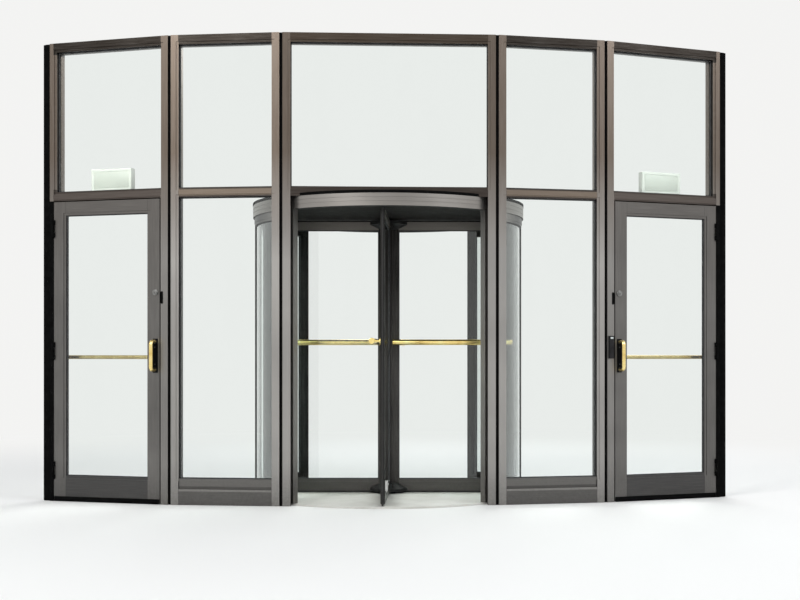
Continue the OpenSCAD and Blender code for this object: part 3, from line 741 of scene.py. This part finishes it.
def around(middle, half):
    """The two ends on either side of a middle."""
    return middle - half, middle + half


def between(xs, ys, zs):
    """A block between its two ends along each axis."""
    return block(*zip(xs, ys, zs))


def upright_plane(x0, x1, z0, z1, y=0):
    """An upright rectangle that faces along y."""
    begin()
    middle = ((x0 + x1) / 2, y, (z0 + z1) / 2)
    bpy.ops.mesh.primitive_plane_add(size=1, location=middle, rotation=(math.pi / 2, 0, 0))
    piece = bpy.context.object
    piece.scale = (x1 - x0, z1 - z0, 1)
    return baked(piece)


def ring(x0, x1, z0, z1, y0, y1, width):
    """A strip round an opening, width wide inwards from its edges, from y0 to y1."""
    piece = upright_plane(x0, x1, z0, z1, y0)
    edit_all()
    bpy.ops.mesh.inset(thickness=width, depth=0)
    bpy.ops.mesh.delete(type="FACE")
    bpy.ops.mesh.select_all(action="SELECT")
    extruded((0, y1 - y0, 0))
    outwards()
    return piece


def rod(start, along, radius, length, sides=40):
    """A round rod from a point, along a direction."""
    begin()
    along = Vector(along).normalized()
    middle = Vector(start) + along * length / 2
    bpy.ops.mesh.primitive_cylinder_add(vertices=sides, radius=radius, depth=length, location=middle)
    piece = bpy.context.object
    piece.rotation_euler = along.to_track_quat("Z", "Y").to_euler()
    return baked(piece)


def domed(start, along, radius, length, dome):
    """A short rod whose far rim is rolled over, as on a cap or an escutcheon."""
    piece = rod(start, along, radius, length)
    pick_tip(piece, Vector(start) + Vector(along).normalized() * length)
    bpy.ops.mesh.bevel(offset=dome, offset_type="OFFSET", segments=5, profile=0.6, affect="EDGES")
    outwards()
    return smoothed(piece, 40)


def screw(start, along, radius, head):
    """A pan head with a round socket."""
    piece = rod(start, along, radius, head, 20)
    along = Vector(along).normalized()
    pick_tip(piece, Vector(start) + along * head)
    bpy.ops.mesh.inset(thickness=radius * 0.28)
    extruded(along * head * 0.3)
    bpy.ops.mesh.inset(thickness=radius * 0.3)
    extruded(along * -head * 0.8)
    outwards()
    return smoothed(piece, 30)


def merged(pieces):
    """Several finished pieces made one."""
    begin()
    for piece in pieces:
        piece.select_set(True)
    bpy.context.view_layer.objects.active = pieces[0]
    bpy.ops.object.join()
    return pieces[0]


def curved_strip(r0, r1, z0, z1, a0, a1, steps=48):
    """A strip that follows the drum from angle a0 to a1, in degrees from straight ahead."""
    piece = upright_plane(r0, r1, z0, z1)
    piece.rotation_euler = (0, 0, math.radians(a0 - 90))
    baked(piece)
    edit_all()
    sweep = math.radians(a1 - a0)
    bpy.ops.mesh.spin(steps=steps, angle=-sweep, center=(0, 0, 0), axis=(0, 0, 1), use_auto_merge=False)
    fill_ends()
    return smoothed(piece, 30)


# Glazing rubbers: a strip on both faces of each pane, round its opening

RUBBER_W, RUBBER_D, RUBBER_GAP = 0.006, 0.007, 0.0002


def pane_rubbers(name, place, body, opening, lite, pane_y):
    """Both rubbers of a flat pane, in the frame of its bay or wing."""
    front, back = around(pane_y, GLASS_T / 2)
    depths = ((front - RUBBER_D, front - RUBBER_GAP), (back + RUBBER_GAP, back + RUBBER_D))
    pair = [rounded(ring(*opening, *lite, *depth, RUBBER_W), 0.0018) for depth in depths]
    put(merged(pair), name, place, body, glazing_rubber)


pane_rubbers("centre_transom_rubber", IN_CENTRE, "screen", CENTRE_OPENING, HIGH_LITE, GLASS_SET)
for side, turn_over in SIDES.items():
    for pane, place, body, opening, lite, pane_y in (
        ("side_transom", IN_SIDE, "screen", SIDE_OPENING, HIGH_LITE, GLASS_SET),
        ("sidelight", IN_SIDE, "screen", SIDE_OPENING, LOW_LITE, GLASS_SET),
        ("outer_transom", IN_OUTER, "screen", OUTER_OPENING, HIGH_LITE, GLASS_SET),
        ("leaf", IN_OUTER, f"{side}_door", LEAF_OPENING, LEAF_LITE, LEAF_T / 2),
    ):
        pane_rubbers(f"{side}_{pane}_rubber", turn_over @ place, body, opening, lite, pane_y)
for side, k in WINGS.items():
    pane_rubbers(f"{side}_wing_rubber", in_wing(k), "rotor", WING_OPENING, WING_LITE, WING_T / 2)


def lite_rubbers(a0, a1):
    """The strips round a curved pane of the drum, on both its faces, between two angles."""
    strips = []
    turn = math.degrees(RUBBER_W / DRUM_MID)
    inner, outer = around(DRUM_MID, GLASS_T / 2)
    low, top = DRUM_GLASS_Z0, DRUM_GLASS_Z1
    for radii in ((inner - RUBBER_D, inner - RUBBER_GAP), (outer + RUBBER_GAP, outer + RUBBER_D)):
        strips.append(curved_strip(*radii, low, low + RUBBER_W, a0, a1))
        strips.append(curved_strip(*radii, top - RUBBER_W, top, a0, a1))
        strips.append(curved_strip(*radii, low + RUBBER_W, top - RUBBER_W, a0, a0 + turn, 2))
        strips.append(curved_strip(*radii, low + RUBBER_W, top - RUBBER_W, a1 - turn, a1, 2))
    return strips


for side, turn_over in SIDES.items():
    strips = [strip for lite in DRUM_LITES for strip in lite_rubbers(*lite)]
    put(merged(strips), f"{side}_drum_rubber", turn_over, "screen", glazing_rubber)


# Push bars: rolled end caps and escutcheons over the bars' feet

OUTSIDE, ON_FACE = (0, -1, 0), -0.0002
BAR_OVER, CAP_IN, CAP_PROUD = 0.0168, 0.002, 0.0008


def bar_trim(name, place, body, first, last, z, bar_d, finish):
    """Caps and escutcheons of a push bar that stands off a face at y = 0 towards -y."""
    cap = {"radius": bar_d / 2 + CAP_PROUD, "length": 0.006, "dome": 0.0045}
    pieces = [
        domed((first - BAR_OVER + CAP_IN, -BAR_OFF, z), (-1, 0, 0), **cap),
        domed((last + BAR_OVER - CAP_IN, -BAR_OFF, z), (1, 0, 0), **cap),
    ]
    for x in (first, last):
        pieces.append(domed((x, ON_FACE, z), OUTSIDE, radius=0.0215, length=0.0065, dome=0.005))
        neck = (x, -BAR_OFF + bar_d / 2 + 0.006, z)
        pieces.append(domed(neck, OUTSIDE, radius=0.0118, length=0.007, dome=0.001))
    put(merged(pieces), name, place, body, finish)


WING_BAR = ((SHAFT_W + WING_STILE) / 2, WING_R - WING_STILE / 2, WING_BAR_Z)
for side, k in WINGS.items():
    bar_trim(f"{side}_wing_bar_trim", in_wing(k), "rotor", *WING_BAR, WING_BAR_D, brass_painted_light)
to_inside = Matrix.Translation((LEAF_X1 - STILE / 2, LEAF_T, 0)) @ Matrix.Rotation(math.pi, 4, "Z")
for side, turn_over in SIDES.items():
    bar_trim(
        f"{side}_leaf_bar_trim", turn_over @ IN_OUTER @ to_inside, f"{side}_door",
        0, LEAF_X1 - LEAF_X0 - STILE, LEAF_BAR_Z, LEAF_BAR_D, brass_painted_shade,
    )


def wing_bar(first, last, z):
    """A wing's push bar on its two posts, whose feet are dished."""
    posts = [rod((x, 0, z), OUTSIDE, 0.0105, BAR_OFF, 24) for x in (first, last)]
    for post in posts:
        stepped(post, 0.002, -0.001)
    length = last - first + 2 * BAR_OVER
    bar = rod((first - BAR_OVER, -BAR_OFF, z), (1, 0, 0), WING_BAR_D / 2, length, 48)
    return merged([rounded(bar, 0.001)] + [rounded(post, 0.0003) for post in posts])


first_bar = wing_bar(*WING_BAR)
bars = [first_bar] + [copied(first_bar) for _ in range(3)]
for bar, k in zip(bars, WINGS.values()):
    bar.matrix_world = in_wing(k)
    baked(bar)
put(merged(bars), "wing_bars", ORIGIN, "rotor", brass_painted_light)
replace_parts(bars[0], "wing_push_bars")


# Revolving wings: carriers that clip the brushes to three edges, and bolts through the hangers

WING_INNER = SHAFT_W / 2 + 0.002


def brush_carrier(name, place):
    """Two lips on each brushed edge of a wing, either side of the brush."""
    mid, brush, lip = WING_T / 2, SWEEP_T / 2 + 0.0004, 0.0022
    bite, rise, outer = 0.0005, 0.0045, WING_R + 0.008
    runs = (
        ((WING_R - bite, outer), (WING_Z0, WING_Z1)), ((WING_INNER, outer), (WING_Z1 - bite, WING_Z1 + rise)),
        ((WING_INNER, outer), (WING_Z0 - rise, WING_Z0 + bite)),
    )
    sides = ((mid - brush - lip, mid - brush), (mid + brush, mid + brush + lip))
    lips = merged([rounded(between(xs, ys, zs), 0.0006) for ys in sides for xs, zs in runs])
    put(lips, name, place, "rotor", shaft_bronze)


for side, k in WINGS.items():
    brush_carrier(f"{side}_wing_brush_carrier", in_wing(k))
    tips = between((WING_INNER, WING_R + 0.017), around(WING_T / 2, 0.005), (0.0125, 0.019))
    put(rounded(tips, 0.0015), f"{side}_wing_brush_tips", in_wing(k), "rotor", brush_black)

# Bolts: turn from a hanger's middle in degrees, distance out, height from the wing's end, lean of the head
BOLT_TURN, BOLT_OUT, BOLT_IN, LEAN_OUT, LEAN_UP = 22, 0.100, 0.040, 0.447, 0.894
bolts = []
for quarter in range(4):
    for offset in (-BOLT_TURN, BOLT_TURN):
        turn = REST_TURN + math.radians(45 + 90 * quarter + offset)
        out = Vector((math.cos(turn), math.sin(turn), 0))
        for z, up in ((WING_Z0 + BOLT_IN, 1), (WING_Z1 - BOLT_IN, -1)):
            slope = (out * LEAN_OUT + Vector((0, 0, LEAN_UP * up))).normalized()
            start = out * BOLT_OUT + Vector((0, 0, z)) - slope * 0.0004
            bolts.append(screw(start, slope, radius=0.0075, head=0.0045))
put(merged(bolts), "hanger_bolts", ORIGIN, "rotor", dark_paint)

# Floor bolt on the front wing's outer stile: a steel case, its knob, and the tip of the bolt below it
FLOOR_BOLT_X = WING_R - 0.0225
case = between((WING_R - 0.040, WING_R - 0.005), (WING_T + ON_FACE, WING_T + 0.019), (0.114, 0.184))
stepped(case, 0.005, 0.002)
bolt_parts = [
    rounded(case, 0.0025, 3),
    domed((FLOOR_BOLT_X, WING_T + 0.0205, 0.160), (0, 1, 0), radius=0.0070, length=0.006, dome=0.003),
    domed((FLOOR_BOLT_X, WING_T + 0.010, 0.116), (0, 0, -1), radius=0.0055, length=0.012, dome=0.002),
]
put(merged(bolt_parts), "front_wing_floor_bolt", in_wing(0), "rotor", bolt_steel)


# Swing doors: bow pulls on their plates, lock cylinders, and a black drop seal and brush under each leaf,
# which also paint the shade in the gap beneath it

def bow_pull(x, z, height, stand, radius, widen, bend):
    """A bow handle with round elbows, in front of a face at y = 0; its section is wider than deep."""
    begin()
    foot, turned = (x, 0, z - height / 2), (math.pi / 2, 0, 0)
    bpy.ops.mesh.primitive_circle_add(
        vertices=40, radius=radius, fill_type="NOTHING", location=foot, rotation=turned,
    )
    piece = bpy.context.object
    piece.scale = (widen, 1, 1)
    baked(piece)
    reach = stand - bend
    bpy.ops.object.mode_set(mode="EDIT")
    bpy.ops.mesh.select_mode(type="EDGE")
    bpy.ops.mesh.select_all(action="SELECT")
    extruded((0, -reach, 0))
    quarter = {"steps": 10, "angle": math.pi / 2, "axis": (1, 0, 0), "use_auto_merge": False}
    bpy.ops.mesh.spin(center=(x, -reach, z - height / 2 + bend), **quarter)
    extruded((0, 0, height - 2 * bend))
    bpy.ops.mesh.spin(center=(x, -reach, z + height / 2 - bend), **quarter)
    extruded((0, reach, 0))
    fill_ends()
    return smoothed(piece, 40)


PLATE_T, ON_PLATE = 0.006, -0.0058
for side, turn_over in SIDES.items():
    place, body = turn_over @ IN_OUTER, f"{side}_door"
    pull = put(
        bow_pull(PULL_X, PULL_Z, PULL_H, stand=0.065, radius=0.012, widen=1.17, bend=0.022),
        f"{side}_bow_pull", place, body, polished_brass,
    )
    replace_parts(pull, f"{side}_pull")
    plate = rounded(between(around(PULL_X, 0.018), (-PLATE_T, 0), around(PULL_Z, 0.119)), 0.002, 3)
    put(plate, f"{side}_pull_back_plate", place, body, trim_black)
    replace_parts(plate, f"{side}_pull_plate")
    collars = [
        domed((PULL_X, ON_PLATE, z), OUTSIDE, radius=0.0155, length=0.004, dome=0.0025)
        for z in around(PULL_Z, PULL_H / 2)
    ]
    put(merged(collars), f"{side}_pull_collars", place, body, hanger_black)
    screws = [screw((PULL_X, ON_PLATE, z), OUTSIDE, 0.0042, 0.0022) for z in around(PULL_Z, 0.060)]
    put(merged(screws), f"{side}_pull_plate_screws", place, body, dark_paint)
    rose = domed((PULL_X, ON_FACE, CYLINDER_Z), OUTSIDE, radius=0.0210, length=0.0084, dome=0.0035)
    barrel = domed((PULL_X, ON_FACE, CYLINDER_Z), OUTSIDE, radius=0.0130, length=0.0118, dome=0.0012)
    plug = domed((PULL_X, -0.0115, CYLINDER_Z), OUTSIDE, radius=0.0085, length=0.0016, dome=0.0006)
    cylinder = merged([rose, barrel, plug])
    put(cylinder, f"{side}_key_cylinder", place, body, turned_steel)
    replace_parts(cylinder, f"{side}_lock_cylinder")
    keyway = between(around(PULL_X, 0.0009), (-0.0134, -0.0128), around(CYLINDER_Z, 0.0045))
    put(rounded(keyway, 0.0002), f"{side}_lock_keyway", place, body, trim_black)
    # The brush and the drop seal are black and reach the floor, which paints the shade in the gap beneath the
    # leaf
    brush = between((LEAF_X0 + 0.004, LEAF_X1 - 0.004), (0.014, 0.031), (0.002, LEAF_Z0 + 0.001))
    put(rounded(brush, 0.002), f"{side}_leaf_brush", place, body, brush_black)
    drop_seal = between((LEAF_X0 + 0.002, LEAF_X1 - 0.002), (-0.0045, 0.0003), (0.0015, LEAF_Z0 + 0.026))
    put(rounded(drop_seal, 0.0015), f"{side}_leaf_drop_seal", place, body, trim_black)


# Frames beside the swing doors: strips on the stops, seals outside the trims, black sheets that paint the
# shade on the hinge jambs, strike covers

STRIP_Y, STRIP_Z0, STRIP_Z1 = (LEAF_T + 0.0006, 0.051), 0.004, TRANSOM_Z - 0.0145
LOCK_STRIP = (LEAF_X0 + 0.0005, JAMB_IN + 0.0145)
HINGE_STRIP = (OUTER_BAY - FACE + 0.001, OUTER_BAY - FACE + 0.009)
TRIM_X, FLOOR_CLEAR = OUTER_BAY + TRIM_W, 0.0005
STRIKE_X, STRIKE_Z, STRIKE_H = 0.0565, 1.4115, 0.071
for side, turn_over in SIDES.items():
    place = turn_over @ IN_OUTER
    strips = [
        between(LOCK_STRIP, STRIP_Y, (STRIP_Z0, STRIP_Z1)),
        between(HINGE_STRIP, STRIP_Y, (STRIP_Z0, STRIP_Z1)),
        between((LOCK_STRIP[0], HINGE_STRIP[1]), STRIP_Y, (STRIP_Z1, TRANSOM_Z - 0.0075)),
    ]
    strips = merged([rounded(strip, 0.0015) for strip in strips])
    put(strips, f"{side}_stop_strip", place, "screen", glazing_rubber)
    seal = between((TRIM_X - 0.001, TRIM_X + 0.019), (0.019, 0.055), (FLOOR_CLEAR, SCREEN_H))
    put(rounded(seal, 0.004, 3), f"{side}_wall_seal", place, "screen", trim_black)
    # A black sheet on the hinge jamb below the transom bar, which paints the shade beside the leaf
    shade_liner = between((HINGE_X, OUTER_BAY), (-0.0018, 0.0004), (FLOOR_CLEAR, TRANSOM_Z))
    put(rounded(shade_liner, 0.0007), f"{side}_jamb_liner", place, "screen", trim_black)
    strike = rod((STRIKE_X, 0.0004, STRIKE_Z), OUTSIDE, 0.0085, 0.0034, 32)
    pick_points(strike, lambda point: point.z > STRIKE_Z + 1e-5)
    bpy.ops.transform.translate(value=(0, 0, STRIKE_H))
    outwards()
    put(rounded(strike, 0.0009), f"{side}_strike_cover", place, "screen", trim_black)


# Card reader: a rounded case with a sunk face below and a pale window line above

READER_X = GROOVE + FACE / 2
reader = between(around(READER_X, 0.0175), (-0.018, 0), (READER_Z - 0.090, READER_Z + 0.070))
edit_all()
bpy.ops.mesh.bisect(plane_co=(0, 0, READER_Z), plane_no=(0, 0, 1))
pick(reader, lambda centre, normal: normal.y < -0.9 and centre.z < READER_Z)
bpy.ops.mesh.inset(thickness=0.005)
extruded((0, 0.002, 0))
outwards()
put(rounded(reader, 0.0022, 3), "card_reader_case", IN_OUTER, "screen", reader_black)
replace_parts(reader, "card_reader")
window = between(around(READER_X, 0.011), (-0.0188, -0.0175), (READER_Z + 0.050, READER_Z + 0.062))
put(rounded(window, 0.0006), "card_reader_window", IN_OUTER, "screen", reader_window)


# Blank boxes over the swing doors: rounded cases with a sunk panel on both faces

BOX_X, BOX_Y, BOX_D = (JAMB_IN + OUTER_BAY - FACE) / 2, GLASS_SET + GLASS_T / 2 + 0.003, 0.056
BOX_HALF, BOX_TOP, BOX_RIM = 0.158, TRANSOM_TOP + 0.158, 0.018


def in_both(name, model, finish):
    """A piece modelled over each swing door, and merged."""
    pair = []
    for turn_over in SIDES.values():
        piece = model()
        piece.matrix_world = turn_over @ IN_OUTER
        pair.append(baked(piece))
    pair = merged(pair)
    bpy.ops.object.mode_set(mode="EDIT")
    outwards()
    return put(pair, name, ORIGIN, "screen", finish)


def box_case():
    """A box with both faces sunk inside a rim."""
    case = between(around(BOX_X, BOX_HALF), (BOX_Y, BOX_Y + BOX_D), (TRANSOM_TOP, BOX_TOP))
    pick(case, lambda centre, normal: abs(normal.y) > 0.9)
    bpy.ops.mesh.inset(thickness=BOX_RIM)
    bpy.ops.mesh.inset(thickness=0.0015, depth=-0.0035)
    outwards()
    return rounded(case, 0.0025, 3)


def box_panels():
    """The blank panels in a box's two sunk faces."""
    rim, thick = BOX_RIM + 0.0025, 0.0022
    xs, zs = around(BOX_X, BOX_HALF - rim), (TRANSOM_TOP + rim, BOX_TOP - rim)
    faces = (BOX_Y + 0.0016, BOX_Y + BOX_D - 0.0038)
    return merged([rounded(between(xs, (y, y + thick), zs), 0.0006) for y in faces])


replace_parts(in_both("blank_boxes", box_case, white_enamel), "sign_boxes")
in_both("blank_box_panels", box_panels, box_panel)


# Canopy: a black strip along the fascia's top edge, outside and, behind the screen, all the way round; it
# paints a line of shade along that edge

TOP_STRIP = (CANOPY_R - 0.001, CANOPY_R + 0.0018, CANOPY_TOP - 0.019, CANOPY_TOP + 0.0008)
front_edge = math.degrees(math.acos(-FRONT / CANOPY_R)) + 0.4
back_edge = math.degrees(math.acos((-FRONT - DEPTH) / CANOPY_R)) + 0.6
strips = [
    curved_strip(*TOP_STRIP, -front_edge, front_edge),
    curved_strip(*TOP_STRIP, back_edge, 360 - back_edge, 144),
]
put(merged(strips), "canopy_top_strip", ORIGIN, "screen", trim_black)


# Floor and light

BACKDROP = (0.90, 0.90, 0.89, 1)


def make_floor():
    """A pale floor that fades into the backdrop."""
    begin()
    bpy.ops.mesh.primitive_plane_add(size=120, location=(0, 0, -0.0005))
    floor = bpy.context.object
    floor.name = floor.data.name = "studio_floor"
    material, tree, principled, place = shader("studio_floor")
    coat(tree, principled, (0.86, 0.86, 0.85, 1), 0.7)
    pale = made(tree, "ShaderNodeEmission", {"Color": BACKDROP})
    fade = spread(tree, length_of(tree, place), 0.0, 1.0, 2.8, 8.5)
    fade.node.interpolation_type = "SMOOTHERSTEP"
    mix_shaders(tree, fade, principled.outputs[0], pale, "Material Output")
    floor.data.materials.append(material)


def make_world():
    """A pale world that the camera, metal and glass see, and a weaker one for the light that it gives."""
    world = bpy.data.worlds.new("studio")
    scene.world = world
    world.use_nodes = True
    tree = world.node_tree
    seen = tree.nodes["Background"]
    seen.inputs["Color"].default_value = BACKDROP
    seen.inputs["Strength"].default_value = 1.0
    lit = made(tree, "ShaderNodeBackground", {"Color": (0.86, 0.90, 0.95, 1), "Strength": 0.55})
    path = tree.nodes.new("ShaderNodeLightPath").outputs
    shown = either(tree, path["Is Camera Ray"], path["Is Transmission Ray"], path["Is Glossy Ray"])
    mix_shaders(tree, shown, lit, seen.outputs[0], "World Output")


def area_light(name, place, aim, size, watts, tone):
    """A rectangular lamp, which the panes don't show."""
    lamp = bpy.data.objects.new(name, bpy.data.lights.new(name, "AREA"))
    lamp.data.shape = "RECTANGLE"
    lamp.data.size, lamp.data.size_y = size
    lamp.data.energy = watts
    lamp.data.color = tone
    lamp.visible_transmission = False
    lamp.location = place
    lamp.rotation_euler = (Vector(aim) - Vector(place)).to_track_quat("-Z", "Y").to_euler()
    scene.collection.objects.link(lamp)


make_floor()
make_world()
area_light("key_light", (-6.5, -9.0, 8.0), (0, -0.6, 1.3), (5, 4), 700, (1.0, 0.98, 0.95))
area_light("fill_light", (7.5, -7.0, 7.5), (0, -0.4, 1.3), (5, 4), 430, (0.97, 0.98, 1.0))
area_light("back_light", (2.5, 8.0, 7.0), (0, 0.3, 1.4), (6, 4), 420, (1.0, 0.99, 0.97))
